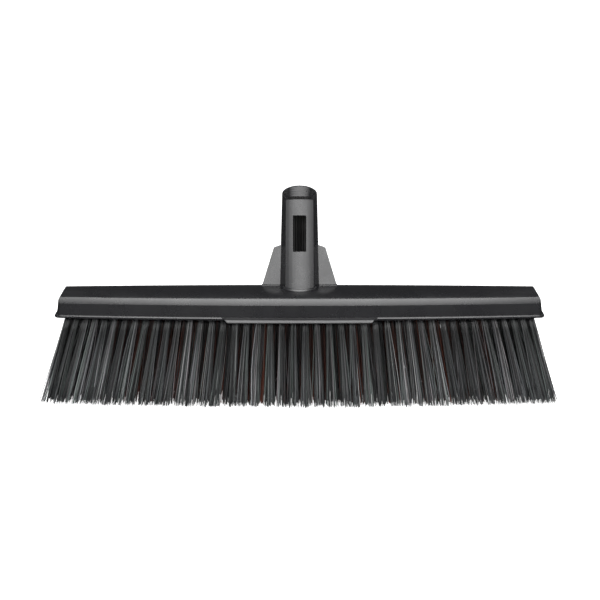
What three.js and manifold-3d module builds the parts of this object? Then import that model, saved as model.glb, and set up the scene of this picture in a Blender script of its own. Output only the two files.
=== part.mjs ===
// Wide floor-broom head: a hollow plastic housing, a leaning handle socket with a latch window,
// a scraper strip in the middle of the front lip, and a bristle block with five rows of tufts.
//
// Millimetres, +Z up, front towards -Y. The origin is on the floor, under the middle of the head,
// at the tip of the tuft there. Neighbouring pieces keep a gap of CLEARANCE.

import * as THREE from 'three';
import { mergeVertices } from 'three/addons/utils/BufferGeometryUtils.js';
import Module from 'manifold-3d';

const wasm = await Module();
wasm.setup();

// ---------------------------------------------------------------- driving dimensions

const CLEARANCE = 0.3;
const ROUNDING_ERROR = 0.01;
const WALL = 3.2;
const REACH = 60; // how far a cutter runs past what it cuts
const OVERLAP = 1; // how far pieces that are joined or cut run into each other

// Housing: half sizes in the middle of the head, and heights above the floor.
const HALF_LENGTH = 241.1;
const END_NARROWING = 0.25; // share of the depth lost at the ends
const END_RISE = 1; // how much higher the bottom edge is at the ends
const END_SQUASH = 0.165; // height lost at the ends, per millimetre above the face's top edge
const END_LEAN = 0.12; // how much the ends lean inwards, per millimetre of height
const LIP_BOTTOM = 89.2;
const LIP_HEIGHT = 2.9;
const LIP_BEVEL = 0.9;
const LIP_DEPTH = 34.7;
const LIP_END_REACH = 1.7; // how far the lip stands out past the ends
const FACE_DEPTH = 33.2; // front face, at the lip
const FACE_TOP_DEPTH = 32.3;
const FACE_TOP = 104.2;
const SHOULDER_DEPTH = 27; // top edge of the chamfer
const SHOULDER = 110.6;
const RIDGE = 117.6;
const CHAMFER_CROWN = 0.35; // how far the chamfer is bowed outwards
// The rounded top of each end, seen from the front.
const END_CURVE_START = new THREE.Vector2(239.4, 105);
const END_CURVE_BEND = new THREE.Vector2(238.4, 110.6);
const END_CURVE_TOP = new THREE.Vector2(233, 116.6);
const END_CURVE_RUN_ON = 3; // how far its straight run-ons go, in lengths of its arms
const CORNER_RADIUS = 7;
const INSET_SHIFT = 0.38; // how far a chamfer corner moves along the wall, per millimetre of inset
const BOW_STEPS = 16; // sections along the bowed length

// Scraper strip, in the middle of the front lip.
const SCRAPER_HALF_LENGTH = 70.5;
const SCRAPER_RAMP = 6;
const SCRAPER_BOTTOM = 86.7;
const SCRAPER_TOP = 92;
const SCRAPER_FACE_DEPTH = FACE_DEPTH + 0.2;
const SCRAPER_LEDGE = 89.4; // where the sloping ledge starts, under the flat face
const SCRAPER_NOSE = 0.5; // height and depth of each facet of the nose
const SCRAPER_NOSE_DEPTH = LIP_DEPTH + 0.9;
const SCRAPER_TONGUE_TOP = 99;
const SCRAPER_TONGUE = 2.1;
const SCRAPER_FRONT = -(FACE_TOP_DEPTH - WALL - CLEARANCE); // front of the tongue
const SCRAPER_BACK = SCRAPER_FRONT + SCRAPER_TONGUE;

// Bristle block.
const BLOCK_BOTTOM = 91.9;
const BLOCK_TOP = 103.6;

// Handle socket, in its own leaning axes: X across, Y to the back, Z along the tube.
const SOCKET_LEAN = THREE.MathUtils.degToRad(15);
const SOCKET_BASE = new THREE.Vector3(0, 1.5, 117.5);
const SOCKET_BURIED = 24; // how far the tube and gussets run on below the base
const SOCKET_HALF_WIDTH = 19.8;
const SOCKET_FRONT = 15.3; // from the axis to the middle of the front face
const SOCKET_FRONT_RISE = 4.6; // how far the front face is bowed
const SOCKET_FRONT_HALF = 14.3; // half width of the front face
const SOCKET_SIDE_HOLLOW = 0.2; // how far the side faces' control points are set in
const SOCKET_BACK = 17;
const SOCKET_SIDE_TAPER = 0.105; // share of the width lost at the mouth
const SOCKET_FRONT_TAPER = 0.04;
const SOCKET_RIM = 85; // height of the front rim along the tube
const MOUTH_RISE = 18.6; // how much higher the back rim is
const MOUTH_SHELF = 11; // the rim is square to the tube in front of this
const BORE_RADIUS = 12;
const BORE_FLOOR = 6;
const BORE_RIBS = 30;
const BORE_RIB_HEIGHT = 0.5;
const WINDOW_WIDTH = 13.2;
const WINDOW_HEIGHT = 36;
const WINDOW_BELOW_RIM = 16.2;
const WINDOW_CORNER = 1;
const FUNNEL_STEPS = 4;
const FUNNEL_STEP_HEIGHT = 2.4;
const FUNNEL_STEP_DEPTH = 0.4;
const FUNNEL_WALL = 1.6;
const FUNNEL_FLOOR_BACK = 5.8; // funnel floor above the front rim, at the back of the bore
const FUNNEL_FLOOR_SLOPE = 0.29;
const GUSSET_THICKNESS = 4.5;
const GUSSET_FRONT = 0.8;
const GUSSET_HEIGHT = 38.4; // at the outer top corner
const GUSSET_BASE_HALF = 37.5;
const GUSSET_TOP_HALF = 25.8;
const GUSSET_TOP_SLOPE = 0.33; // rise of the top edge towards the tube
const GUSSET_CORNER = 1.6;

// Socket flange, inside the housing, and the pad above it.
const FLANGE_HALF_LENGTH = 54;
const FLANGE_HALF_DEPTH = 20;
const FLANGE_BOTTOM = 101.4;
const FLANGE_TOP = 105.4;
const PAD_MARGIN = 2;

// Screws.
const SHANK_RADIUS = 2.2;
const HEAD_RADIUS = 4;
const HEAD_HEIGHT = 2.6;
const HEAD_ROUNDING = 0.8;
const SHANK_POINT = 1.5;
const RECESS_REACH = 2;
const RECESS_WIDTH = 1;
const RECESS_DEPTH = 1.2;
const SCREW_SIDES = 12;
const BOSS_RADIUS = 5.5;
const SOCKET_SCREW_X = 47;
const SOCKET_SCREW_BOTTOM = FLANGE_BOTTOM - CLEARANCE - HEAD_HEIGHT;
const SOCKET_SCREW_LENGTH = 10;
const BLOCK_SCREW_X = [-225, -80, 80, 225];
const BLOCK_SCREW_BOTTOM = BLOCK_BOTTOM + CLEARANCE;
const BLOCK_SCREW_LENGTH = 17;

// Tufts: five rows, front to back. Each row has its number of tufts and the share of the
// row's half length that its outermost tufts reach.
const ROWS = [
  { tufts: 44, share: 1, root: -21.6, tip: -28 },
  { tufts: 43, share: 42 / 43, root: -10.8, tip: -14 },
  { tufts: 45, share: 1, root: 0, tip: 0 },
  { tufts: 43, share: 42 / 43, root: 10.8, tip: 14 },
  { tufts: 44, share: 1, root: 21.6, tip: 28 },
];
const TUFT_ROOT_REACH = 229; // outermost tuft, at its root
const TUFT_TIP_REACH = 254; // and at its tip
const TUFT_CROWDING = 0.08; // how much closer the tufts stand towards the ends
const TUFT_ROOT_RADIUS = 3;
const TUFT_TIP_RADIUS = 4.3;
const TUFT_SIDES = 6;
const SECTION_SPLIT = 80; // the rows are in three sections, split here
const GROOVE_HALF_WIDTH = 3.7;
const GROOVE_TOP = 96.6;
const WEB_BOTTOM = BLOCK_BOTTOM - CLEARANCE; // the web stands out of its groove a little
const TUFT_ROOT_Z = WEB_BOTTOM + OVERLAP;

const PLASTIC = { color: 0x2b2c2d, roughness: 0.45, metalness: 0 };
const SCRAPER_PLASTIC = { color: 0x3a3b3c, roughness: 0.4, metalness: 0 };
const BLOCK_PLASTIC = { color: 0x1c1c1d, roughness: 0.6, metalness: 0 };
const STEEL = { color: 0x9a9c9f, roughness: 0.35, metalness: 1 };
const DARK_BRISTLE = { color: 0x4a4c4c, roughness: 0.55, metalness: 0 };
const BROWN_BRISTLE = { color: 0x4a201a, roughness: 0.55, metalness: 0 };

// ---------------------------------------------------------------- solids and meshes

function toSolid(geometry) {
  const bare = geometry.clone();
  bare.deleteAttribute('normal');
  bare.deleteAttribute('uv');
  const merged = mergeVertices(bare, 1e-4);
  return new wasm.Manifold(new wasm.Mesh({
    numProp: 3,
    vertProperties: merged.attributes.position.array,
    triVerts: Uint32Array.from(merged.index.array),
  }));
}

function toGeometry(solid) {
  const mesh = solid.getMesh();
  const geometry = new THREE.BufferGeometry();
  geometry.setAttribute('position', new THREE.BufferAttribute(mesh.vertProperties, 3));
  geometry.setIndex(new THREE.BufferAttribute(mesh.triVerts, 1));
  geometry.computeVertexNormals();
  return geometry;
}

function joined(solids) {
  return solids.reduce((whole, solid) => whole.add(solid));
}

function named(name, solid, finish) {
  const mesh = new THREE.Mesh(toGeometry(solid), new THREE.MeshStandardMaterial(finish));
  mesh.name = name;
  return mesh;
}

// An outline in Y and Z, swept along X.
function sweepAlongX(outline, halfLength, steps) {
  const geometry = new THREE.ExtrudeGeometry(outline, {
    depth: 2 * halfLength, steps, bevelEnabled: false, curveSegments: 6,
  });
  geometry.translate(0, 0, -halfLength);
  const turn = new THREE.Matrix4().makeBasis(
    new THREE.Vector3(0, 1, 0), new THREE.Vector3(0, 0, 1), new THREE.Vector3(1, 0, 0),
  );
  return geometry.applyMatrix4(turn);
}

// An outline in X and Z, swept along Y from one depth to another.
function sweepAlongY(outline, fromY, toY) {
  const geometry = new THREE.ExtrudeGeometry(outline, {
    depth: toY - fromY, steps: 1, bevelEnabled: false, curveSegments: 4,
  });
  return geometry.rotateX(Math.PI / 2).translate(0, toY, 0);
}

// An outline in X and Y, swept along Z from one height to another.
function sweepAlongZ(outline, bottom, top, curveSegments = 8) {
  const geometry = new THREE.ExtrudeGeometry(outline, {
    depth: top - bottom, steps: 1, bevelEnabled: false, curveSegments,
  });
  return geometry.translate(0, 0, bottom);
}

function box(halfLength, halfDepth, bottom, top, centreX = 0) {
  const geometry = new THREE.BoxGeometry(2 * halfLength, 2 * halfDepth, top - bottom);
  return toSolid(geometry.translate(centreX, 0, (bottom + top) / 2));
}

function cylinder(radius, x, y, bottom, top) {
  const geometry = new THREE.CylinderGeometry(radius, radius, top - bottom, 16);
  return toSolid(geometry.rotateX(Math.PI / 2).translate(x, y, (bottom + top) / 2));
}

function polygon(points) {
  return new THREE.Shape(points.map(([x, y]) => new THREE.Vector2(x, y)));
}

// Changes each vertex by a rule that takes a point and alters it in place.
function reshape(geometry, rule) {
  const place = geometry.attributes.position;
  const point = new THREE.Vector3();
  for (let i = 0; i < place.count; i += 1) {
    rule(point.fromBufferAttribute(place, i));
    place.setXYZ(i, point.x, point.y, point.z);
  }
  return geometry;
}

// ---------------------------------------------------------------- bow of the head

const endShare = (x) => (x / HALF_LENGTH) ** 2;
const depthShare = (x) => 1 - END_NARROWING * endShare(x);

// Towards the ends the bottom edge rises and the top falls.
function raised(geometry) {
  return reshape(geometry, (point) => {
    const aboveFace = Math.max(0, point.z - FACE_TOP);
    point.z += endShare(point.x) * (END_RISE - END_SQUASH * aboveFace);
  });
}

function bowed(geometry) {
  return reshape(raised(geometry), (point) => {
    point.y *= depthShare(point.x);
  });
}

// Seen from above: two long bows and two straight ends, with rounded corners.
function planOutline(halfLength, halfDepth, corner) {
  const endDepth = halfDepth * (1 - END_NARROWING);
  const bowControl = 2 * halfDepth - endDepth;
  const bowEnd = halfLength - corner;
  const outline = new THREE.Shape();
  outline.moveTo(-bowEnd, -endDepth);
  outline.quadraticCurveTo(0, -bowControl, bowEnd, -endDepth);
  outline.quadraticCurveTo(halfLength, -endDepth, halfLength, corner - endDepth);
  outline.lineTo(halfLength, endDepth - corner);
  outline.quadraticCurveTo(halfLength, endDepth, bowEnd, endDepth);
  outline.quadraticCurveTo(0, bowControl, -bowEnd, endDepth);
  outline.quadraticCurveTo(-halfLength, endDepth, -halfLength, endDepth - corner);
  outline.lineTo(-halfLength, corner - endDepth);
  outline.quadraticCurveTo(-halfLength, -endDepth, -bowEnd, -endDepth);
  return outline;
}

// ---------------------------------------------------------------- housing

// Seen from the front: a tall outline whose two upper corners are the rounded ends.
function endView(inset, bottom) {
  const chord = END_CURVE_TOP.clone().sub(END_CURVE_START);
  const inwards = new THREE.Vector2(-chord.y, chord.x).normalize().multiplyScalar(inset);
  const start = END_CURVE_START.clone().add(inwards);
  const bend = END_CURVE_BEND.clone().add(inwards);
  const top = END_CURVE_TOP.clone().add(inwards);
  const low = start.clone().lerp(bend, -END_CURVE_RUN_ON);
  const high = top.clone().lerp(bend, -END_CURVE_RUN_ON);
  const outline = new THREE.Shape();
  outline.moveTo(-low.x, bottom);
  outline.lineTo(low.x, bottom);
  outline.lineTo(low.x, low.y);
  outline.lineTo(start.x, start.y);
  outline.quadraticCurveTo(bend.x, bend.y, top.x, top.y);
  outline.lineTo(high.x, high.y);
  outline.lineTo(-high.x, high.y);
  outline.lineTo(-top.x, top.y);
  outline.quadraticCurveTo(-bend.x, bend.y, -start.x, start.y);
  outline.lineTo(-low.x, low.y);
  return outline;
}

// The head's outer form, or the same form set in by a wall, standing on a flat floor height.
function headForm(inset, floor) {
  const shift = INSET_SHIFT * inset;
  const faceTop = new THREE.Vector2(FACE_TOP_DEPTH - inset, FACE_TOP - shift);
  const shoulder = new THREE.Vector2(SHOULDER_DEPTH - shift, SHOULDER - inset);
  const faceSlope = (FACE_DEPTH - FACE_TOP_DEPTH) / (FACE_TOP - LIP_BOTTOM);
  const floorDepth = FACE_DEPTH - inset + faceSlope * (LIP_BOTTOM - floor);
  const across = shoulder.clone().sub(faceTop);
  const outwards = new THREE.Vector2(across.y, -across.x).normalize();
  const crown = faceTop.clone().addScaledVector(across, 0.5)
    .addScaledVector(outwards, 2 * CHAMFER_CROWN);
  const section = new THREE.Shape();
  section.moveTo(-floorDepth, floor);
  section.lineTo(floorDepth, floor);
  section.lineTo(faceTop.x, faceTop.y);
  section.quadraticCurveTo(crown.x, crown.y, shoulder.x, shoulder.y);
  section.quadraticCurveTo(0, 2 * (RIDGE - inset) - shoulder.y, -shoulder.x, shoulder.y);
  section.quadraticCurveTo(-crown.x, crown.y, -faceTop.x, faceTop.y);
  const long = toSolid(bowed(sweepAlongX(section, HALF_LENGTH + OVERLAP, BOW_STEPS)));

  const plan = planOutline(HALF_LENGTH - inset, FACE_DEPTH + OVERLAP - inset, CORNER_RADIUS);
  const ends = sweepAlongZ(plan, floor - REACH, RIDGE + REACH);
  const leaning = reshape(ends, (point) => {
    point.x *= 1 - (END_LEAN * (point.z - LIP_BOTTOM)) / HALF_LENGTH;
  });

  const rounded = toSolid(sweepAlongY(endView(inset, floor - REACH), -REACH, REACH));
  return long.intersect(toSolid(leaning)).intersect(rounded);
}

function lip() {
  const plan = planOutline(
    HALF_LENGTH + LIP_END_REACH - LIP_BEVEL, LIP_DEPTH - LIP_BEVEL, CORNER_RADIUS - LIP_BEVEL,
  );
  const geometry = new THREE.ExtrudeGeometry(plan, {
    depth: LIP_HEIGHT - 2 * LIP_BEVEL, steps: 1, curveSegments: 8,
    bevelThickness: LIP_BEVEL, bevelSize: LIP_BEVEL, bevelSegments: 1,
  });
  return toSolid(raised(geometry.translate(0, 0, LIP_BOTTOM + LIP_BEVEL)));
}

function scraperEnds(grow, bottom, top, fromY, toY) {
  const ramp = SCRAPER_RAMP / (SCRAPER_TOP - SCRAPER_BOTTOM);
  const wide = SCRAPER_HALF_LENGTH + SCRAPER_RAMP + grow;
  const narrow = wide - ramp * (SCRAPER_TOP - bottom);
  const outline = polygon([
    [-narrow, bottom], [narrow, bottom], [wide, SCRAPER_TOP],
    [wide, top], [-wide, top], [-wide, SCRAPER_TOP],
  ]);
  return toSolid(sweepAlongY(outline, fromY, toY));
}

function housing() {
  const pad = box(
    FLANGE_HALF_LENGTH + PAD_MARGIN, FLANGE_HALF_DEPTH + PAD_MARGIN,
    FLANGE_TOP + CLEARANCE, RIDGE,
  ).intersect(headForm(WALL / 2, LIP_BOTTOM));
  const bosses = BLOCK_SCREW_X.map((x) => cylinder(
    BOSS_RADIUS, x, 0, BLOCK_TOP + CLEARANCE, RIDGE - WALL,
  ));
  const blockHoles = BLOCK_SCREW_X.map((x) => cylinder(
    SHANK_RADIUS + CLEARANCE, x, 0, BLOCK_TOP, BLOCK_SCREW_BOTTOM + BLOCK_SCREW_LENGTH + CLEARANCE,
  ));
  const socketHoles = [-SOCKET_SCREW_X, SOCKET_SCREW_X].map((x) => cylinder(
    SHANK_RADIUS + CLEARANCE, x, 0,
    FLANGE_TOP, SOCKET_SCREW_BOTTOM + SOCKET_SCREW_LENGTH + CLEARANCE,
  ));
  const shell = headForm(0, LIP_BOTTOM + LIP_BEVEL)
    .add(lip())
    .subtract(headForm(WALL, LIP_BOTTOM - REACH));
  const notch = scraperEnds(
    CLEARANCE, SCRAPER_BOTTOM - OVERLAP, SCRAPER_TOP + CLEARANCE, -REACH, -FACE_DEPTH / 2,
  );
  return joined([shell, pad, ...bosses])
    .subtract(notch)
    .subtract(socketOutside(CLEARANCE))
    .subtract(joined([...blockHoles, ...socketHoles]));
}

// ---------------------------------------------------------------- scraper strip

function scraperStrip() {
  const section = polygon([
    [SCRAPER_BACK, SCRAPER_BOTTOM], [SCRAPER_BACK, SCRAPER_TONGUE_TOP],
    [SCRAPER_FRONT, SCRAPER_TONGUE_TOP], [SCRAPER_FRONT, SCRAPER_TOP],
    [-SCRAPER_FACE_DEPTH, SCRAPER_TOP], [-SCRAPER_FACE_DEPTH, SCRAPER_LEDGE],
    [SCRAPER_NOSE / 2 - SCRAPER_NOSE_DEPTH, SCRAPER_BOTTOM + 2 * SCRAPER_NOSE],
    [-SCRAPER_NOSE_DEPTH, SCRAPER_BOTTOM + SCRAPER_NOSE],
    [SCRAPER_NOSE - SCRAPER_NOSE_DEPTH, SCRAPER_BOTTOM],
  ]);
  const halfLength = SCRAPER_HALF_LENGTH + SCRAPER_RAMP + OVERLAP;
  const strip = toSolid(bowed(sweepAlongX(section, halfLength, BOW_STEPS / 2)));
  return strip.intersect(
    scraperEnds(0, SCRAPER_BOTTOM - OVERLAP, SCRAPER_TONGUE_TOP + OVERLAP, -REACH, 0),
  );
}

// ---------------------------------------------------------------- handle socket

const lean = new THREE.Matrix4()
  .makeRotationX(-SOCKET_LEAN)
  .setPosition(SOCKET_BASE);

function leaning(geometry) {
  return toSolid(geometry.applyMatrix4(lean));
}

// The tube's cross section: a wide, gently bowed front face and a round back.
function socketOutline(grow) {
  const half = SOCKET_HALF_WIDTH + grow;
  const frontHalf = SOCKET_FRONT_HALF + grow / 2;
  const front = SOCKET_FRONT + grow;
  const edge = front - SOCKET_FRONT_RISE;
  const outline = new THREE.Shape();
  outline.moveTo(-frontHalf, -edge);
  outline.quadraticCurveTo(0, -front - SOCKET_FRONT_RISE, frontHalf, -edge);
  const sideControl = (frontHalf + half) / 2 - SOCKET_SIDE_HOLLOW;
  outline.quadraticCurveTo(sideControl, -edge / 2, half, 0);
  outline.absellipse(0, 0, half, SOCKET_BACK + grow, 0, Math.PI, false, 0);
  outline.quadraticCurveTo(-sideControl, -edge / 2, -frontHalf, -edge);
  return outline;
}

function socketTube(grow, bottom, top) {
  const frontEdge = SOCKET_FRONT_RISE - SOCKET_FRONT - grow + ROUNDING_ERROR;
  const geometry = sweepAlongZ(socketOutline(grow), bottom, top);
  return reshape(geometry, (point) => {
    const taper = point.y < frontEdge ? SOCKET_FRONT_TAPER : SOCKET_SIDE_TAPER;
    const share = 1 - (taper * point.z) / SOCKET_RIM;
    point.x *= share;
    point.y *= point.y > 0 ? share : 1;
  });
}

// Both gussets in one flat plate, seen from the front: it passes through the tube.
function gussetPlate(grow) {
  const spread = (GUSSET_BASE_HALF - GUSSET_TOP_HALF) / GUSSET_HEIGHT;
  const bottomHalf = GUSSET_BASE_HALF + grow + spread * SOCKET_BURIED;
  const half = GUSSET_TOP_HALF + grow;
  const top = GUSSET_HEIGHT + grow;
  const drop = GUSSET_CORNER;
  const outline = new THREE.Shape();
  outline.moveTo(-bottomHalf, -SOCKET_BURIED);
  outline.lineTo(bottomHalf, -SOCKET_BURIED);
  outline.lineTo(half + spread * drop, top - drop);
  outline.quadraticCurveTo(half, top, half - drop, top + GUSSET_TOP_SLOPE * drop);
  outline.lineTo(0, top + GUSSET_TOP_SLOPE * half);
  outline.lineTo(drop - half, top + GUSSET_TOP_SLOPE * drop);
  outline.quadraticCurveTo(-half, top, -half - spread * drop, top - drop);
  return sweepAlongY(outline, -GUSSET_FRONT - grow, GUSSET_THICKNESS - GUSSET_FRONT + grow);
}

// Everything of the socket that passes up through the housing's top.
function socketOutside(grow) {
  const tube = leaning(socketTube(grow, -SOCKET_BURIED, SOCKET_RIM + REACH));
  return tube.add(leaning(gussetPlate(grow)));
}

// The slanted mouth: square to the tube at the front rim, then rising to the back.
function mouthCut() {
  const slope = MOUTH_RISE / (MOUTH_SHELF + SOCKET_BACK);
  const section = polygon([
    [-REACH, SOCKET_RIM], [-MOUTH_SHELF, SOCKET_RIM],
    [REACH, SOCKET_RIM + slope * (REACH + MOUTH_SHELF)],
    [REACH, SOCKET_RIM + 2 * REACH], [-REACH, SOCKET_RIM + 2 * REACH],
  ]);
  return leaning(sweepAlongX(section, REACH, 1));
}

// Handle bore with fine ribs along its wall.
function bore() {
  const points = [];
  for (let i = 0; i < 2 * BORE_RIBS; i += 1) {
    const angle = (i * Math.PI) / BORE_RIBS;
    const radius = i % 2 ? BORE_RADIUS : BORE_RADIUS - BORE_RIB_HEIGHT;
    points.push([radius * Math.sin(angle), radius * Math.cos(angle)]);
  }
  return leaning(sweepAlongZ(polygon(points), BORE_FLOOR, SOCKET_RIM + REACH));
}

// Stepped lead-in at the back of the mouth, over a floor that slants like the mouth.
function funnel() {
  const floorAt = (y) => SOCKET_RIM + FUNNEL_FLOOR_BACK + FUNNEL_FLOOR_SLOPE * (y - BORE_RADIUS);
  const steps = [];
  for (let i = 0; i < FUNNEL_STEPS; i += 1) {
    const lift = i * FUNNEL_STEP_HEIGHT;
    const inset = -FUNNEL_WALL - FUNNEL_STEP_DEPTH * (FUNNEL_STEPS - 1 - i);
    const hollow = leaning(socketTube(inset, BORE_FLOOR, SOCKET_RIM + REACH));
    const above = polygon([
      [-MOUTH_SHELF, floorAt(-MOUTH_SHELF) + lift], [REACH, floorAt(REACH) + lift],
      [REACH, SOCKET_RIM + 2 * REACH], [-MOUTH_SHELF, SOCKET_RIM + 2 * REACH],
    ]);
    steps.push(hollow.intersect(leaning(sweepAlongX(above, REACH, 1))));
  }
  return joined(steps);
}

function latchWindow() {
  const half = WINDOW_WIDTH / 2;
  const top = SOCKET_RIM - WINDOW_BELOW_RIM;
  const bottom = top - WINDOW_HEIGHT;
  const r = WINDOW_CORNER;
  const outline = new THREE.Shape();
  outline.moveTo(-half + r, bottom);
  outline.lineTo(half - r, bottom);
  outline.quadraticCurveTo(half, bottom, half, bottom + r);
  outline.lineTo(half, top - r);
  outline.quadraticCurveTo(half, top, half - r, top);
  outline.lineTo(-half + r, top);
  outline.quadraticCurveTo(-half, top, -half, top - r);
  outline.lineTo(-half, bottom + r);
  outline.quadraticCurveTo(-half, bottom, -half + r, bottom);
  return leaning(sweepAlongY(outline, -REACH, 0));
}

function handleSocket() {
  const flange = box(FLANGE_HALF_LENGTH, FLANGE_HALF_DEPTH, FLANGE_BOTTOM, FLANGE_TOP);
  const below = box(2 * REACH, 2 * REACH, FLANGE_BOTTOM - REACH, FLANGE_BOTTOM);
  const screwHoles = [-SOCKET_SCREW_X, SOCKET_SCREW_X].map((x) => cylinder(
    SHANK_RADIUS + CLEARANCE, x, 0, FLANGE_BOTTOM - OVERLAP, FLANGE_TOP + OVERLAP,
  ));
  return socketOutside(0)
    .subtract(below)
    .add(flange)
    .subtract(mouthCut())
    .subtract(bore())
    .subtract(funnel())
    .subtract(latchWindow())
    .subtract(joined(screwHoles));
}

// ---------------------------------------------------------------- screws

// A pan-head screw, head down, with a cross recess.
function screw(x, bottom, length) {
  const profile = [
    [0, 0], [HEAD_RADIUS - HEAD_ROUNDING, 0], [HEAD_RADIUS, HEAD_ROUNDING],
    [HEAD_RADIUS, HEAD_HEIGHT], [SHANK_RADIUS, HEAD_HEIGHT],
    [SHANK_RADIUS, length - SHANK_POINT], [0, length],
  ].map(([radius, height]) => new THREE.Vector2(radius, height));
  const turned = new THREE.LatheGeometry(profile, SCREW_SIDES).rotateX(Math.PI / 2);
  const slotTop = bottom + RECESS_DEPTH;
  const across = box(RECESS_REACH, RECESS_WIDTH / 2, bottom - OVERLAP, slotTop, x);
  const along = box(RECESS_WIDTH / 2, RECESS_REACH, bottom - OVERLAP, slotTop, x);
  return toSolid(turned.translate(x, 0, bottom)).subtract(across).subtract(along);
}

// ---------------------------------------------------------------- bristle block and tufts

// A strip that follows a row of tuft roots between two places along the head.
function rowStrip(rowRoot, halfWidth, fromX, toX, bottom, top) {
  const rowY = (x) => rowRoot * depthShare(x);
  const slope = (-2 * rowRoot * END_NARROWING * fromX) / HALF_LENGTH ** 2;
  const middleX = (fromX + toX) / 2;
  const middleY = rowY(fromX) + slope * (middleX - fromX);
  const outline = new THREE.Shape();
  outline.moveTo(fromX, rowY(fromX) - halfWidth);
  outline.quadraticCurveTo(middleX, middleY - halfWidth, toX, rowY(toX) - halfWidth);
  outline.lineTo(toX, rowY(toX) + halfWidth);
  outline.quadraticCurveTo(middleX, middleY + halfWidth, fromX, rowY(fromX) + halfWidth);
  return toSolid(sweepAlongZ(outline, bottom, top, 6));
}

function bristleBlock() {
  const reach = TUFT_ROOT_REACH + TUFT_ROOT_RADIUS;
  const grooves = ROWS.map((row) => rowStrip(
    row.root, GROOVE_HALF_WIDTH, -reach, reach, BLOCK_BOTTOM - OVERLAP, GROOVE_TOP,
  ));
  const screwHoles = BLOCK_SCREW_X.map((x) => cylinder(
    SHANK_RADIUS + CLEARANCE, x, 0, BLOCK_BOTTOM - OVERLAP, BLOCK_TOP + OVERLAP,
  ));
  const headSeats = BLOCK_SCREW_X.map((x) => cylinder(
    HEAD_RADIUS + CLEARANCE, x, 0,
    BLOCK_BOTTOM - OVERLAP, BLOCK_SCREW_BOTTOM + HEAD_HEIGHT + CLEARANCE,
  ));
  const flangePocket = box(
    FLANGE_HALF_LENGTH + PAD_MARGIN, FLANGE_HALF_DEPTH + PAD_MARGIN,
    SOCKET_SCREW_BOTTOM - CLEARANCE, BLOCK_TOP + OVERLAP,
  );
  const tongueBack = SCRAPER_BACK * depthShare(SCRAPER_HALF_LENGTH + SCRAPER_RAMP);
  const tongueSlot = scraperEnds(
    CLEARANCE, SCRAPER_BOTTOM - OVERLAP, SCRAPER_TONGUE_TOP + CLEARANCE,
    -REACH, tongueBack + CLEARANCE,
  );
  return headForm(WALL + CLEARANCE, BLOCK_BOTTOM)
    .intersect(box(HALF_LENGTH, REACH, BLOCK_BOTTOM, BLOCK_TOP))
    .subtract(joined([...grooves, ...screwHoles, ...headSeats]))
    .subtract(flangePocket)
    .subtract(tongueSlot);
}

// Where each tuft of a row stands: the tufts stand closer together towards the ends.
function tuftPlaces(row) {
  const places = [];
  for (let i = 0; i < row.tufts; i += 1) {
    const share = row.share * (-1 + (2 * i) / (row.tufts - 1));
    const along = (1 + TUFT_CROWDING) * share - TUFT_CROWDING * share ** 3;
    const x = TUFT_ROOT_REACH * along;
    places.push({
      root: new THREE.Vector2(x, row.root * depthShare(x)),
      tip: new THREE.Vector2(TUFT_TIP_REACH * along, row.tip * depthShare(x)),
    });
  }
  return places;
}

// One tuft: its tip spreads and leans outwards, and its length stays the same.
function tuft({ root, tip }) {
  const height = Math.sqrt(TUFT_ROOT_Z ** 2 - (tip.x - root.x) ** 2);
  const geometry = new THREE.CylinderGeometry(
    TUFT_ROOT_RADIUS, TUFT_TIP_RADIUS, height, TUFT_SIDES,
  );
  geometry.rotateX(Math.PI / 2).translate(0, 0, TUFT_ROOT_Z - height / 2);
  return toSolid(reshape(geometry, (point) => {
    const share = (TUFT_ROOT_Z - point.z) / height;
    point.x += THREE.MathUtils.lerp(root.x, tip.x, share);
    point.y += THREE.MathUtils.lerp(root.y, tip.y, share);
  }));
}

// A section of a row: its tufts, joined at their roots by a web that sits in the block's groove.
function tuftSection(row, places) {
  const web = rowStrip(
    row.root, GROOVE_HALF_WIDTH - CLEARANCE,
    places[0].root.x - TUFT_ROOT_RADIUS / 2, places.at(-1).root.x + TUFT_ROOT_RADIUS / 2,
    WEB_BOTTOM, GROOVE_TOP - CLEARANCE,
  );
  return web.add(joined(places.map(tuft)));
}

function clearOfScrews(row, place) {
  const reach = HEAD_RADIUS + TUFT_ROOT_RADIUS;
  return row.root !== 0 || BLOCK_SCREW_X.every((x) => Math.abs(x - place.root.x) > reach);
}

const SECTIONS = [
  { name: 'left', holds: (x) => x < -SECTION_SPLIT },
  { name: 'middle', holds: (x) => Math.abs(x) <= SECTION_SPLIT },
  { name: 'right', holds: (x) => x > SECTION_SPLIT },
];

function tuftMeshes() {
  const meshes = [];
  ROWS.forEach((row, index) => {
    const outer = index === 0 || index === ROWS.length - 1;
    const places = tuftPlaces(row).filter((place) => clearOfScrews(row, place));
    SECTIONS.forEach((section) => {
      const own = places.filter((place) => section.holds(place.root.x));
      const name = `tuft_row_${index + 1}_${section.name}`;
      meshes.push(named(name, tuftSection(row, own), outer ? DARK_BRISTLE : BROWN_BRISTLE));
    });
  });
  return meshes;
}

// ---------------------------------------------------------------- the assembly

const head = new THREE.Group();
head.name = 'broom_head';
head.add(named('housing', housing(), PLASTIC));
head.add(named('handle_socket', handleSocket(), PLASTIC));
head.add(named('scraper_strip', scraperStrip(), SCRAPER_PLASTIC));
head.add(named('bristle_block', bristleBlock(), BLOCK_PLASTIC));
head.add(...tuftMeshes());
[-SOCKET_SCREW_X, SOCKET_SCREW_X].forEach((x, i) => {
  head.add(named(`socket_screw_${i + 1}`, screw(x, SOCKET_SCREW_BOTTOM, SOCKET_SCREW_LENGTH), STEEL));
});
BLOCK_SCREW_X.forEach((x, i) => {
  head.add(named(`block_screw_${i + 1}`, screw(x, BLOCK_SCREW_BOTTOM, BLOCK_SCREW_LENGTH), STEEL));
});

export default head;
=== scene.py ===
import math
import random

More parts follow.
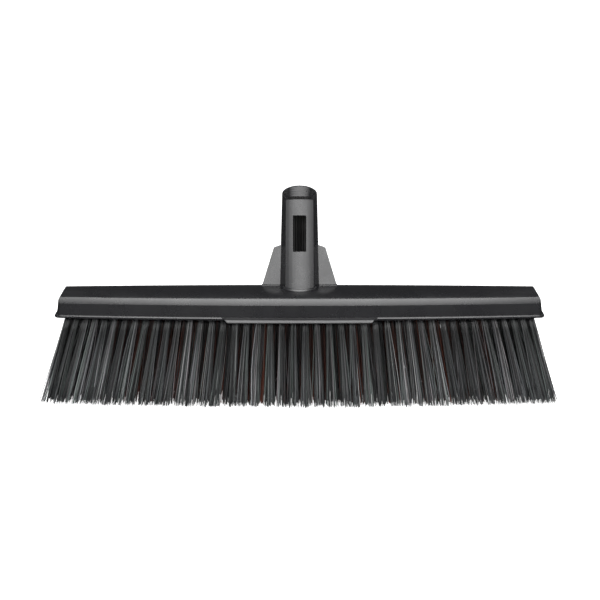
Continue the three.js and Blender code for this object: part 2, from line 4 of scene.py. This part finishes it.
import bmesh
import bpy
import numpy as np
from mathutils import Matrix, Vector


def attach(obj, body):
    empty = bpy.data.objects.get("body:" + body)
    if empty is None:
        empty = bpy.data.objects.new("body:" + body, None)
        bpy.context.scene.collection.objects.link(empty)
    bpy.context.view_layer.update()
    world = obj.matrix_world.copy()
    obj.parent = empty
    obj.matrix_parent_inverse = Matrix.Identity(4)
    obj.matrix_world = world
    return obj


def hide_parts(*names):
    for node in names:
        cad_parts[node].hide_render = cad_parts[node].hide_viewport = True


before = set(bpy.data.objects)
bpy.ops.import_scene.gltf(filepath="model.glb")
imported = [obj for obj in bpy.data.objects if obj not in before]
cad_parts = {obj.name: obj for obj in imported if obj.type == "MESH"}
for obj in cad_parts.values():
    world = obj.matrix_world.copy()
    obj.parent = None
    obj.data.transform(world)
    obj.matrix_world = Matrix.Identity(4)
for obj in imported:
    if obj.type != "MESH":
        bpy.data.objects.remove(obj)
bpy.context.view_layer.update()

MM = 0.001

# ------------------------------------------------------------------ dimensions, in millimetres

# The head, as in the CAD part: its depth shrinks towards the ends.
HALF_LENGTH = 241.1
END_NARROWING = 0.25

# The handle socket: where its axis leaves the head, how far it leans to the back, its bore, its
# outline at the base, and its gussets.
SOCKET_BASE = (0.0, 1.5, 117.5)
SOCKET_LEAN = math.radians(15)
SOCKET_HALF_WIDTH = 19.8
SOCKET_FRONT = 15.3
SOCKET_FRONT_RISE = 4.6
SOCKET_FRONT_HALF = 14.3
SOCKET_BACK = 17.0
BORE_RADIUS = 12.0
GUSSET_FRONT = -0.8
GUSSET_BACK = 3.7
GUSSET_BASE_HALF = 37.5
BORE_MARGIN = 0.1  # faces up to this far outside the bore's radius belong to its wall

# The roof: its middle line and its front and back edges.
RIDGE = 117.6
SHOULDER = 110.6
SHOULDER_DEPTH = 27.0

# The bead where the socket rises out of the roof.
FILLET = 1.3
FILLET_INTO_SOCKET = 0.3
FILLET_INTO_ROOF = 0.2
CURVE_STEPS = 8  # points along each curved part of the socket's outline
SIDE_STEPS = 3  # points along each straight side
ROOF_ROUNDS = 20  # steps of the search for the roof along a sloping line

# Tuft rows, front to back: number of tufts, share of the row's half length that they reach,
# and the row's depth at the roots and at the tips.
ROWS = [
    (44, 1.0, -21.6, -28.0),
    (43, 42 / 43, -10.8, -14.0),
    (45, 1.0, 0.0, 0.0),
    (43, 42 / 43, 10.8, 14.0),
    (44, 1.0, 21.6, 28.0),
]
TUFT_ROOT_REACH = 229.0
TUFT_TIP_REACH = 254.0
TUFT_CROWDING = 0.08
TUFT_ROOT_Z = 92.6
TUFT_BURIED = 1.0  # how far the filaments run up into the block
SECTION_SPLIT = 80.0
BLOCK_SCREW_X = (-225.0, -80.0, 80.0, 225.0)
SCREW_KEEP_CLEAR = 7.0

# Filaments: their number in each tuft, and the shape of each.
FILAMENTS = 34
FILAMENT_RADIUS = 0.43
FILAMENT_SIDES = 5
FILAMENT_RINGS = 6
FILAMENT_TAPER = 0.85  # share of the radius left near the tip
FILAMENT_TIP_TAPER = 0.85  # further share left at the very tip
GOLDEN_ANGLE = 2.39996  # radians between one filament and the next, around the tuft
ANGLE_JITTER = 0.25

# How a tuft spreads from its hole to its tips.
ROOT_SPREAD = 2.55
TIP_SPREAD = 5.8
TIP_SPREAD_LEAST = 0.75
TIP_SPREAD_MOST = 1.15
SPREAD_CURVE = 1.2  # above 1, a tuft stays narrow at first and flares near its tips
TIP_RAGGED = 5.0  # how much shorter the shortest filaments are
RAGGED_CURVE = 2.4  # the higher, the fewer short filaments

# How far things stand out of line, each as a standard deviation.
TUFT_STRAY = 0.9
FILAMENT_STRAY = 1.0
FILAMENT_BOW = 0.35

# A few filaments are bent well out of line.
WILD_SHARE = 0.06
WILD_STRAY_ALONG = 3.0
WILD_STRAY_ACROSS = 1.5
WILD_BOW = 4

# Filament shades.
OUTER_TONE = 0.53  # how light the outer rows' filaments are, from 0 to 1
# The inner rows' lower tone is painted shade: they stand in the shade between the outer rows.
INNER_SHADED_TONE = 0.31
TUFT_TONE_VARIATION = 0.08
FILAMENT_TONE_VARIATION = 0.22
BROWN_SHARE = 0.40  # share of brown filaments in the inner rows
BROWN_END_MARGIN = 182.0  # no brown filaments further out than this
SHADE_GONE_BELOW = 10.0  # the height below which the painted shade under the head is gone and the filaments are at their lightest

FIRST_SEED = 100  # each row draws its filaments from its own seed

JOIN_DISTANCE = 0.001  # corners closer than this are one corner
CREASE_DEGREES = 20  # faces that meet at less than this shade as one curve

# The camera's viewpoint.
VIEW_ELEVATION = math.radians(12)
VIEW_AIM = Vector((0.00045, 0, 0.10305))
VIEW_DISTANCE = 1.95
VIEW_WIDTH = 0.6
SENSOR_WIDTH = 36.0

# The studio, in metres.
FLOOR_RADIUS = 8.0
FLOOR_SIDES = 96
RIM_HEIGHT = 1.3
LIGHT_AIM = Vector((0, 0, 0.12))
FRONT_LIGHTS_EACH_SIDE = 4
FRONT_LIGHT_RADIUS = 2.6
FRONT_LIGHT_HEIGHT = 1.15
FRONT_LIGHT_POWER = 14.9
FRONT_LIGHT_FADE = 0.037  # share of the power lost outwards, per step squared
FRONT_LIGHT_TILT = 0.015  # share of the power gained to the right, per step
FRONT_LIGHT_STEP = 16  # degrees between neighbouring front softboxes
FRONT_LIGHT_WIDTH = 2 * FRONT_LIGHT_RADIUS * math.tan(math.radians(FRONT_LIGHT_STEP / 2))
FRONT_LIGHT_TALL = 0.9

# The other softboxes: name, place, width, height and watts.
SOFTBOXES = [
    ("top_softbox_low", (0, -0.95, 1.75), 1.3, 0.7, 16),
    ("top_softbox_high", (0, -0.4, 2.1), 1.3, 0.6, 21),
    ("back_softbox_left", (-1.5, 1.7, 2.0), 1.2, 0.9, 11),
    ("back_softbox_right", (1.5, 1.7, 2.0), 1.2, 0.9, 11),
]

WORLD_COLOUR = (0.8, 0.82, 0.85, 1)
WORLD_STRENGTH = 0.06
FLOOR_WHITE = (0.85, 0.85, 0.85, 1)
FLOOR_GLOW = 0.85

# Moulded plastics: darkest and lightest colour, roughness, and edge rounding in millimetres.
PLASTICS = {
    "housing_plastic": ((0.007, 0.007, 0.008), (0.010, 0.010, 0.011), 0.27, 0.5),
    "scraper_plastic": ((0.016, 0.016, 0.017), (0.022, 0.022, 0.023), 0.27, 0.3),
    "block_plastic": ((0.008, 0.008, 0.009), (0.012, 0.012, 0.012), 0.5, 0.0),
    # The bore's colour is darker than the housing's: painted shade inside the tube.
    "bore_shaded_plastic": ((0.004, 0.004, 0.004), (0.007, 0.007, 0.007), 0.5, 0.0),
}
BORE_SHEEN = 0.2  # the ribbed bore mirrors less than the smooth plastics

# Each moulding's plastic; every other piece that isn't a tuft is a screw.
MOULDINGS = {
    "housing": "housing_plastic",
    "handle_socket": "housing_plastic",
    "scraper_strip": "scraper_plastic",
    "bristle_block": "block_plastic",
}

# Mould texture: its grain and its depth in millimetres, and how strongly it shows.
GRAIN = 0.35
GRAIN_DEPTH = 0.02
GRAIN_STRENGTH = 0.12
EDGE_SAMPLES = 6

STREAK_SCALE = (2500, 2500, 60)  # fine across a filament and long along it


# ------------------------------------------------------------------ small helpers

def depth_share(x):
    return 1 - END_NARROWING * (x / HALF_LENGTH) ** 2


def refined_copy(node, name):
    """A copy of a CAD node, joined along its curved faces so that they shade smoothly."""
    work = bmesh.new()
    work.from_mesh(node.data)
    bmesh.ops.remove_doubles(work, verts=work.verts, dist=JOIN_DISTANCE * MM)
    crease = math.radians(CREASE_DEGREES)
    sharp = [edge for edge in work.edges if edge.calc_face_angle(0) > crease]
    bmesh.ops.split_edges(work, edges=sharp)
    mesh = bpy.data.meshes.new(name)
    work.to_mesh(mesh)
    work.free()
    mesh.shade_smooth()
    copy = bpy.data.objects.new(name, mesh)
    copy.matrix_world = node.matrix_world.copy()
    bpy.context.scene.collection.objects.link(copy)
    return copy


# ------------------------------------------------------------------ camera, floor and light

def add_camera():
    away = Vector((0, -math.cos(VIEW_ELEVATION), math.sin(VIEW_ELEVATION)))
    data = bpy.data.cameras.new("camera")
    data.sensor_width = SENSOR_WIDTH
    data.lens = SENSOR_WIDTH * VIEW_DISTANCE / VIEW_WIDTH
    camera = bpy.data.objects.new("camera", data)
    camera.location = VIEW_AIM + away * VIEW_DISTANCE
    camera.rotation_euler = (math.radians(90) - VIEW_ELEVATION, 0, 0)
    bpy.context.scene.collection.objects.link(camera)
    bpy.context.scene.camera = camera


def add_floor():
    """A round pale floor with a low upright rim, evenly lit like a studio sweep."""
    sides = FLOOR_SIDES
    verts = []
    for height in (0.0, RIM_HEIGHT):
        for i in range(sides):
            angle = 2 * math.pi * i / sides
            verts.append((FLOOR_RADIUS * math.cos(angle), FLOOR_RADIUS * math.sin(angle), height))
    rim = [(i, (i + 1) % sides, sides + (i + 1) % sides, sides + i) for i in range(sides)]
    mesh = bpy.data.meshes.new("floor")
    mesh.from_pydata(verts, [], [tuple(range(sides)), *rim])
    floor = bpy.data.objects.new("floor", mesh)
    bpy.context.scene.collection.objects.link(floor)
    material = bpy.data.materials.new("floor_pale")
    material.use_nodes = True
    shader = material.node_tree.nodes["Principled BSDF"]
    shader.inputs["Base Color"].default_value = FLOOR_WHITE
    shader.inputs["Roughness"].default_value = 0.9
    shader.inputs["Specular IOR Level"].default_value = 0.1
    shader.inputs["Emission Color"].default_value = (1, 1, 1, 1)
    shader.inputs["Emission Strength"].default_value = FLOOR_GLOW
    mesh.materials.append(material)
    # The sweep lights the object but is not mirrored in it: the sides of the studio are dark.
    floor.visible_glossy = False


def add_softbox(name, place, width, height, power):
    data = bpy.data.lights.new(name, "AREA")
    data.shape = "RECTANGLE"
    data.size = width
    data.size_y = height
    data.energy = power
    light = bpy.data.objects.new(name, data)
    light.location = place
    aim = LIGHT_AIM - Vector(place)
    light.rotation_euler = aim.to_track_quat("-Z", "Y").to_euler()
    bpy.context.scene.collection.objects.link(light)


def add_lights():
    world = bpy.data.worlds.new("studio")
    world.use_nodes = True
    background = world.node_tree.nodes["Background"]
    background.inputs["Color"].default_value = WORLD_COLOUR
    background.inputs["Strength"].default_value = WORLD_STRENGTH
    bpy.context.scene.world = world
    for step in range(-FRONT_LIGHTS_EACH_SIDE, FRONT_LIGHTS_EACH_SIDE + 1):
        number = step + FRONT_LIGHTS_EACH_SIDE + 1
        azimuth = math.radians(step * FRONT_LIGHT_STEP)
        x = FRONT_LIGHT_RADIUS * math.sin(azimuth)
        y = -FRONT_LIGHT_RADIUS * math.cos(azimuth)
        share = 1 - FRONT_LIGHT_FADE * step ** 2 + FRONT_LIGHT_TILT * step
        add_softbox(f"front_softbox_{number}", (x, y, FRONT_LIGHT_HEIGHT),
                    FRONT_LIGHT_WIDTH, FRONT_LIGHT_TALL, FRONT_LIGHT_POWER * share)
    for softbox in SOFTBOXES:
        add_softbox(*softbox)


def set_look():
    view = bpy.context.scene.view_settings
    view.view_transform = "Standard"
    view.look = "None"
    view.exposure = 0.0
    view.gamma = 1.0


# ------------------------------------------------------------------ materials

def new_material(name):
    material = bpy.data.materials.new(name)
    material.use_nodes = True
    tree = material.node_tree
    return material, tree.nodes, tree.links, tree.nodes["Principled BSDF"]


def colour_ramp(nodes, stops):
    """A colour ramp from (position, colour) stops."""
    node = nodes.new("ShaderNodeValToRGB")
    elements = node.color_ramp.elements
    while len(elements) < len(stops):
        elements.new(0.5)
    for element, (position, colour) in zip(elements, stops):
        element.position = position
        element.color = (*colour, 1)
    return node


def colour_mix(nodes, links, blend, factor, first, second):
    """Mixes two colours; the factor is a number or a socket."""
    node = nodes.new("ShaderNodeMix")
    node.data_type = "RGBA"
    node.blend_type = blend
    if isinstance(factor, float):
        node.inputs["Factor"].default_value = factor
    else:
        links.new(factor, node.inputs["Factor"])
    links.new(first, node.inputs["A"])
    links.new(second, node.inputs["B"])
    return node.outputs["Result"]


def noise(nodes, links, place, scale, detail):
    """A noise pattern's value at each place."""
    node = nodes.new("ShaderNodeTexNoise")
    node.inputs["Scale"].default_value = scale
    node.inputs["Detail"].default_value = detail
    links.new(place, node.inputs["Vector"])
    return node.outputs["Fac"]


def remapped(nodes, links, value, low, high, value_low=0.0, value_high=1.0):
    """The value, stretched so that value_low gives low and value_high gives high."""
    node = nodes.new("ShaderNodeMapRange")
    node.inputs["From Min"].default_value = value_low
    node.inputs["From Max"].default_value = value_high
    node.inputs["To Min"].default_value = low
    node.inputs["To Max"].default_value = high
    links.new(value, node.inputs["Value"])
    return node.outputs["Result"]


def moulded_plastic(name, dark, light, roughness, edge_rounding):
    """Satin moulded plastic: a fine mould texture, faint flow marks, and softly rounded edges."""
    material, nodes, links, shader = new_material(name)
    where = nodes.new("ShaderNodeTexCoord").outputs["Object"]

    flow = noise(nodes, links, where, scale=14.0, detail=4.0)
    tint = colour_ramp(nodes, ((0.3, dark), (0.7, light)))
    links.new(flow, tint.inputs["Fac"])
    links.new(tint.outputs["Color"], shader.inputs["Base Color"])

    scuffs = noise(nodes, links, where, scale=60.0, detail=6.0)
    gloss = remapped(nodes, links, scuffs, roughness - 0.05, roughness + 0.07)
    links.new(gloss, shader.inputs["Roughness"])

    relief = nodes.new("ShaderNodeBump")
    relief.inputs["Strength"].default_value = GRAIN_STRENGTH
    relief.inputs["Distance"].default_value = GRAIN_DEPTH * MM
    grain = noise(nodes, links, where, scale=1 / (GRAIN * MM), detail=2.0)
    links.new(grain, relief.inputs["Height"])
    if edge_rounding:
        edge = nodes.new("ShaderNodeBevel")
        edge.samples = EDGE_SAMPLES
        edge.inputs["Radius"].default_value = edge_rounding * MM
        links.new(edge.outputs["Normal"], relief.inputs["Normal"])
    links.new(relief.outputs["Normal"], shader.inputs["Normal"])
    return material


def bristle_fibre(name):
    """Extruded filaments: each one has its own shade, and some are red-brown."""
    material, nodes, links, shader = new_material(name)
    values = {}
    for attribute in ("tone", "tint", "brown"):
        node = nodes.new("ShaderNodeAttribute")
        node.attribute_name = attribute
        values[attribute] = node.outputs["Fac"]

    grey = colour_ramp(nodes, (
        (0.0, (0.006, 0.006, 0.006)),
        (0.50, (0.024, 0.025, 0.025)),
        (0.80, (0.070, 0.072, 0.072)),
        (1.0, (0.150, 0.150, 0.150)),
    ))
    links.new(values["tone"], grey.inputs["Fac"])
    cast = colour_ramp(nodes, (
        (0.0, (0.82, 1.0, 0.94)),
        (0.35, (1.0, 1.0, 1.0)),
        (0.65, (0.90, 0.94, 1.0)),
        (1.0, (1.0, 0.88, 0.92)),
    ))
    links.new(values["tint"], cast.inputs["Fac"])
    tinted = colour_mix(nodes, links, "MULTIPLY", 1.0, grey.outputs["Color"], cast.outputs["Color"])

    rust = colour_ramp(nodes, ((0.0, (0.012, 0.004, 0.004)), (1.0, (0.11, 0.032, 0.018))))
    links.new(values["tone"], rust.inputs["Fac"])
    dyed = colour_mix(nodes, links, "MIX", values["brown"], tinted, rust.outputs["Color"])

    # Painted shade: the filaments are darker near the block, where the head shades them, and lighter
    # towards their tips.
    where = nodes.new("ShaderNodeTexCoord").outputs["Object"]
    split = nodes.new("ShaderNodeSeparateXYZ")
    links.new(where, split.inputs["Vector"])
    height = split.outputs["Z"]
    root_shade = remapped(nodes, links, height, 0.38, 1.5, TUFT_ROOT_Z * MM, SHADE_GONE_BELOW * MM)
    root_shaded = colour_mix(nodes, links, "MULTIPLY", 1.0, dyed, root_shade)
    links.new(root_shaded, shader.inputs["Base Color"])

    stretch = nodes.new("ShaderNodeMapping")
    stretch.inputs["Scale"].default_value = STREAK_SCALE
    links.new(where, stretch.inputs["Vector"])
    streaks = noise(nodes, links, stretch.outputs["Vector"], scale=1.0, detail=2.0)
    links.new(remapped(nodes, links, streaks, 0.32, 0.5), shader.inputs["Roughness"])
    return material


def plated_steel(name):
    """Zinc-plated steel with fine tool marks."""
    material, nodes, links, shader = new_material(name)
    shader.inputs["Metallic"].default_value = 1.0
    where = nodes.new("ShaderNodeTexCoord").outputs["Object"]
    marks = noise(nodes, links, where, scale=900.0, detail=5.0)
    tint = colour_ramp(nodes, ((0.0, (0.42, 0.42, 0.41)), (1.0, (0.62, 0.62, 0.60))))
    links.new(marks, tint.inputs["Fac"])
    links.new(tint.outputs["Color"], shader.inputs["Base Color"])
    links.new(remapped(nodes, links, marks, 0.25, 0.45), shader.inputs["Roughness"])
    return material


# ------------------------------------------------------------------ tufts

def tuft_places(tufts, share, root_y, tip_y):
    """(root x, root y, tip x, tip y) of each tuft in a row."""
    places = []
    for i in range(tufts):
        u = share * (-1 + 2 * i / (tufts - 1))
        along = (1 + TUFT_CROWDING) * u - TUFT_CROWDING * u ** 3
        x = TUFT_ROOT_REACH * along
        narrow = depth_share(x)
        places.append((x, root_y * narrow, TUFT_TIP_REACH * along, tip_y * narrow))
    return places


def clear_of_screws(root_y, place):
    return root_y != 0 or all(abs(x - place[0]) > SCREW_KEEP_CLEAR for x in BLOCK_SCREW_X)


def scatter(along, across, rng):
    """A random step along and across the head, with these standard deviations."""
    return np.array((rng.gauss(0, along), rng.gauss(0, across)))


def filament_paths(place, rng):
    """Centre lines of one tuft's filaments, as an array of filaments x rings x 3."""
    root_x, root_y, tip_x, tip_y = place
    length = math.sqrt(TUFT_ROOT_Z ** 2 - (tip_x - root_x) ** 2)
    floor_z = TUFT_ROOT_Z - length
    top_z = TUFT_ROOT_Z + TUFT_BURIED
    root = np.array((root_x, root_y))
    tip = np.array((tip_x, tip_y)) + scatter(TUFT_STRAY, TUFT_STRAY, rng)
    paths = np.zeros((FILAMENTS, FILAMENT_RINGS, 3))
    along = np.linspace(0, 1, FILAMENT_RINGS)
    for i in range(FILAMENTS):
        angle = i * GOLDEN_ANGLE + rng.uniform(-ANGLE_JITTER, ANGLE_JITTER)
        radius = math.sqrt((i + 0.5) / FILAMENTS)
        direction = np.array((math.cos(angle), math.sin(angle)))
        start = direction * radius * ROOT_SPREAD
        spread = TIP_SPREAD * radius * rng.uniform(TIP_SPREAD_LEAST, TIP_SPREAD_MOST)
        end = direction * spread + scatter(FILAMENT_STRAY, FILAMENT_STRAY, rng)
        short = TIP_RAGGED * rng.random() ** RAGGED_CURVE
        bow = scatter(FILAMENT_BOW, FILAMENT_BOW, rng)
        if rng.random() < WILD_SHARE:
            end += scatter(WILD_STRAY_ALONG, WILD_STRAY_ACROSS, rng)
            bow *= WILD_BOW
        t = along * (1 - short / length)
        middle = root + np.outer(t, tip - root)
        flare = start + np.outer(t ** SPREAD_CURVE, end - start)
        paths[i, :, :2] = middle + flare + np.outer(np.sin(math.pi * t), bow)
        paths[i, :, 2] = top_z + (floor_z - top_z) * t
    return paths


def filament_tones(row_tone, rng):
    """How light each of one tuft's filaments is, from 0 to 1."""
    middle = row_tone + rng.gauss(0, TUFT_TONE_VARIATION)
    tones = [middle + rng.gauss(0, FILAMENT_TONE_VARIATION) for _ in range(FILAMENTS)]
    return np.clip(tones, 0, 1)


def filament_mesh(name, paths, looks):
    """Thin closed tubes along the paths; looks gives each filament's named values."""
    count, rings, _ = paths.shape
    sides = FILAMENT_SIDES
    angles = 2 * math.pi * np.arange(sides) / sides
    radii = FILAMENT_RADIUS * np.linspace(1.0, FILAMENT_TAPER, rings)
    radii[-1] *= FILAMENT_TIP_TAPER
    ring = np.stack((np.cos(angles), np.sin(angles), np.zeros(sides)), axis=1)
    verts = paths[:, :, None, :] + radii[None, :, None, None] * ring[None, None, :, :]
    verts = verts.reshape(-1, 3) * MM

    step = np.arange(sides)
    following = (step + 1) % sides
    quads = []
    for r in range(rings - 1):
        lower = r * sides
        upper = lower + sides
        quads.append(np.stack((lower + step, lower + following, upper + following, upper + step), 1))
    quads = np.concatenate(quads)[:, ::-1]
    base = (np.arange(count) * rings * sides)[:, None]
    side_faces = (quads[None, :, :] + base[:, :, None]).reshape(-1, 4)
    start_caps = step[None, :] + base
    end_caps = (rings - 1) * sides + step[None, ::-1] + base

    mesh = bpy.data.meshes.new(name)
    faces = side_faces.tolist() + start_caps.tolist() + end_caps.tolist()
    mesh.from_pydata(verts.tolist(), [], faces)
    for attribute, values in looks.items():
        layer = mesh.attributes.new(attribute, "FLOAT", "POINT")
        layer.data.foreach_set("value", np.repeat(values, rings * sides))
    mesh.shade_smooth()
    obj = bpy.data.objects.new(name, mesh)
    bpy.context.scene.collection.objects.link(obj)
    return obj


def add_tufts():
    fibre = bristle_fibre("bristle_fibre")
    sections = {
        "left": lambda x: x < -SECTION_SPLIT,
        "middle": lambda x: abs(x) <= SECTION_SPLIT,
        "right": lambda x: x > SECTION_SPLIT,
    }
    for index, (tufts, share, root_y, tip_y) in enumerate(ROWS):
        rng = random.Random(FIRST_SEED + index)
        outer = index in (0, len(ROWS) - 1)
        # the inner rows take the darker tone, painted shade between the outer rows
        row_tone = OUTER_TONE if outer else INNER_SHADED_TONE
        brown_share = 0.0 if outer else BROWN_SHARE
        places = [p for p in tuft_places(tufts, share, root_y, tip_y) if clear_of_screws(root_y, p)]
        for section, holds in sections.items():
            own = [p for p in places if holds(p[0])]
            paths = np.concatenate([filament_paths(p, rng) for p in own])
            roots_x = np.repeat([p[0] for p in own], FILAMENTS)
            tones = np.concatenate([filament_tones(row_tone, rng) for _ in own])
            tints = np.array([rng.random() for _ in roots_x])
            browns = np.array([
                1.0 if rng.random() < brown_share and abs(x) < BROWN_END_MARGIN else 0.0
                for x in roots_x
            ])
            name = f"bristles_row_{index + 1}_{section}"
            piece = filament_mesh(name, paths, {"tone": tones, "tint": tints, "brown": browns})
            piece.data.materials.append(fibre)
            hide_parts(f"tuft_row_{index + 1}_{section}")
            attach(piece, "root")


# ------------------------------------------------------------------ housing and socket

def socket_to_world(x, y, along):
    """A point in the socket's own axes (across, to the back, along the tube), in millimetres."""
    lean_sin, lean_cos = math.sin(SOCKET_LEAN), math.cos(SOCKET_LEAN)
    return (
        SOCKET_BASE[0] + x,
        SOCKET_BASE[1] + y * lean_cos + along * lean_sin,
        SOCKET_BASE[2] - y * lean_sin + along * lean_cos,
    )


def roof_height(y):
    return RIDGE - (RIDGE - SHOULDER) * (y / SHOULDER_DEPTH) ** 2


def on_roof(x, y):
    """Where a line along the tube, at x and y in the socket's axes, meets the roof."""
    along = 0.0
    for _ in range(ROOF_ROUNDS):
        point = socket_to_world(x, y, along)
        along -= (point[2] - roof_height(point[1])) / math.cos(SOCKET_LEAN)
    return socket_to_world(x, y, along)


def socket_outline():
    """The tube and gussets where they meet the roof, right half, from front to back."""
    points = []
    edge = SOCKET_FRONT - SOCKET_FRONT_RISE
    for i in range(CURVE_STEPS + 1):
        x = SOCKET_FRONT_HALF * i / CURVE_STEPS
        points.append((x, -SOCKET_FRONT + SOCKET_FRONT_RISE * (x / SOCKET_FRONT_HALF) ** 2))
    side_share = 1 + GUSSET_FRONT / edge
    side = SOCKET_HALF_WIDTH - SOCKET_FRONT_HALF
    for i in range(1, SIDE_STEPS + 1):
        share = side_share * i / SIDE_STEPS
        points.append((SOCKET_FRONT_HALF + side * share, -edge * (1 - share)))
    points += [(GUSSET_BASE_HALF, GUSSET_FRONT), (GUSSET_BASE_HALF, GUSSET_BACK)]
    start = math.asin(GUSSET_BACK / SOCKET_BACK)
    for i in range(CURVE_STEPS + 1):
        angle = start + (math.pi / 2 - start) * i / CURVE_STEPS
        points.append((SOCKET_HALF_WIDTH * math.cos(angle), SOCKET_BACK * math.sin(angle)))
    return points


def add_socket_fillet(material):
    """The small sloping bead where the tube and gussets rise out of the roof."""
    half = socket_outline()
    outline = half + [(-x, y) for x, y in reversed(half[1:-1])]
    count = len(outline)
    verts = []
    for i, (x, y) in enumerate(outline):
        before, after = outline[i - 1], outline[(i + 1) % count]
        along = Vector((after[0] - before[0], after[1] - before[1])).normalized()
        out = Vector((along.y, -along.x))
        inner = Vector(on_roof(x - FILLET_INTO_SOCKET * out.x, y - FILLET_INTO_SOCKET * out.y))
        outer = Vector(on_roof(x + FILLET * out.x, y + FILLET * out.y))
        below = Vector((0, 0, -FILLET_INTO_ROOF))
        verts += [outer + below, outer, inner + Vector((0, 0, FILLET)), inner + below]
    faces = []
    for i in range(count):
        here, there = 4 * i, 4 * ((i + 1) % count)
        for side in range(4):
            step = (side + 1) % 4
            faces.append((here + side, there + side, there + step, here + step))
    mesh = bpy.data.meshes.new("socket_fillet")
    mesh.from_pydata([vert * MM for vert in verts], [], faces)
    mesh.materials.append(material)
    piece = bpy.data.objects.new("socket_fillet", mesh)
    bpy.context.scene.collection.objects.link(piece)
    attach(piece, "root")


def paint_bore_shade(piece, material):
    """Gives the bore's ribbed wall its own rougher plastic, whose darker colour is painted shade
    inside the tube.
    """
    piece.data.materials.append(material)
    axis = Vector(socket_to_world(0, 0, 1)) - Vector(SOCKET_BASE)
    for face in piece.data.polygons:
        offset = face.center / MM - Vector(SOCKET_BASE)
        away = (offset - axis * offset.dot(axis)).length
        if away < BORE_RADIUS + BORE_MARGIN and offset.dot(axis) > 0:
            face.material_index = 1


def add_mouldings():
    """The housing, socket, strip, block and screws, with joined corners and their materials."""
    materials = {name: moulded_plastic(name, *look) for name, look in PLASTICS.items()}
    materials["screw_steel"] = plated_steel("screw_steel")
    bore_nodes = materials["bore_shaded_plastic"].node_tree.nodes
    bore_nodes["Principled BSDF"].inputs["Specular IOR Level"].default_value = BORE_SHEEN
    for name, node in list(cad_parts.items()):
        if name.startswith("tuft_row"):
            continue
        slot = MOULDINGS.get(name, "screw_steel")
        piece = refined_copy(node, f"{name}_look")
        piece.data.materials.append(materials[slot])
        if name == "handle_socket":
            paint_bore_shade(piece, materials["bore_shaded_plastic"])
        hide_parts(name)
        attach(piece, "root")
    add_socket_fillet(materials["housing_plastic"])


# ------------------------------------------------------------------ the scene

add_camera()
add_floor()
add_lights()
set_look()
add_mouldings()
add_tufts()
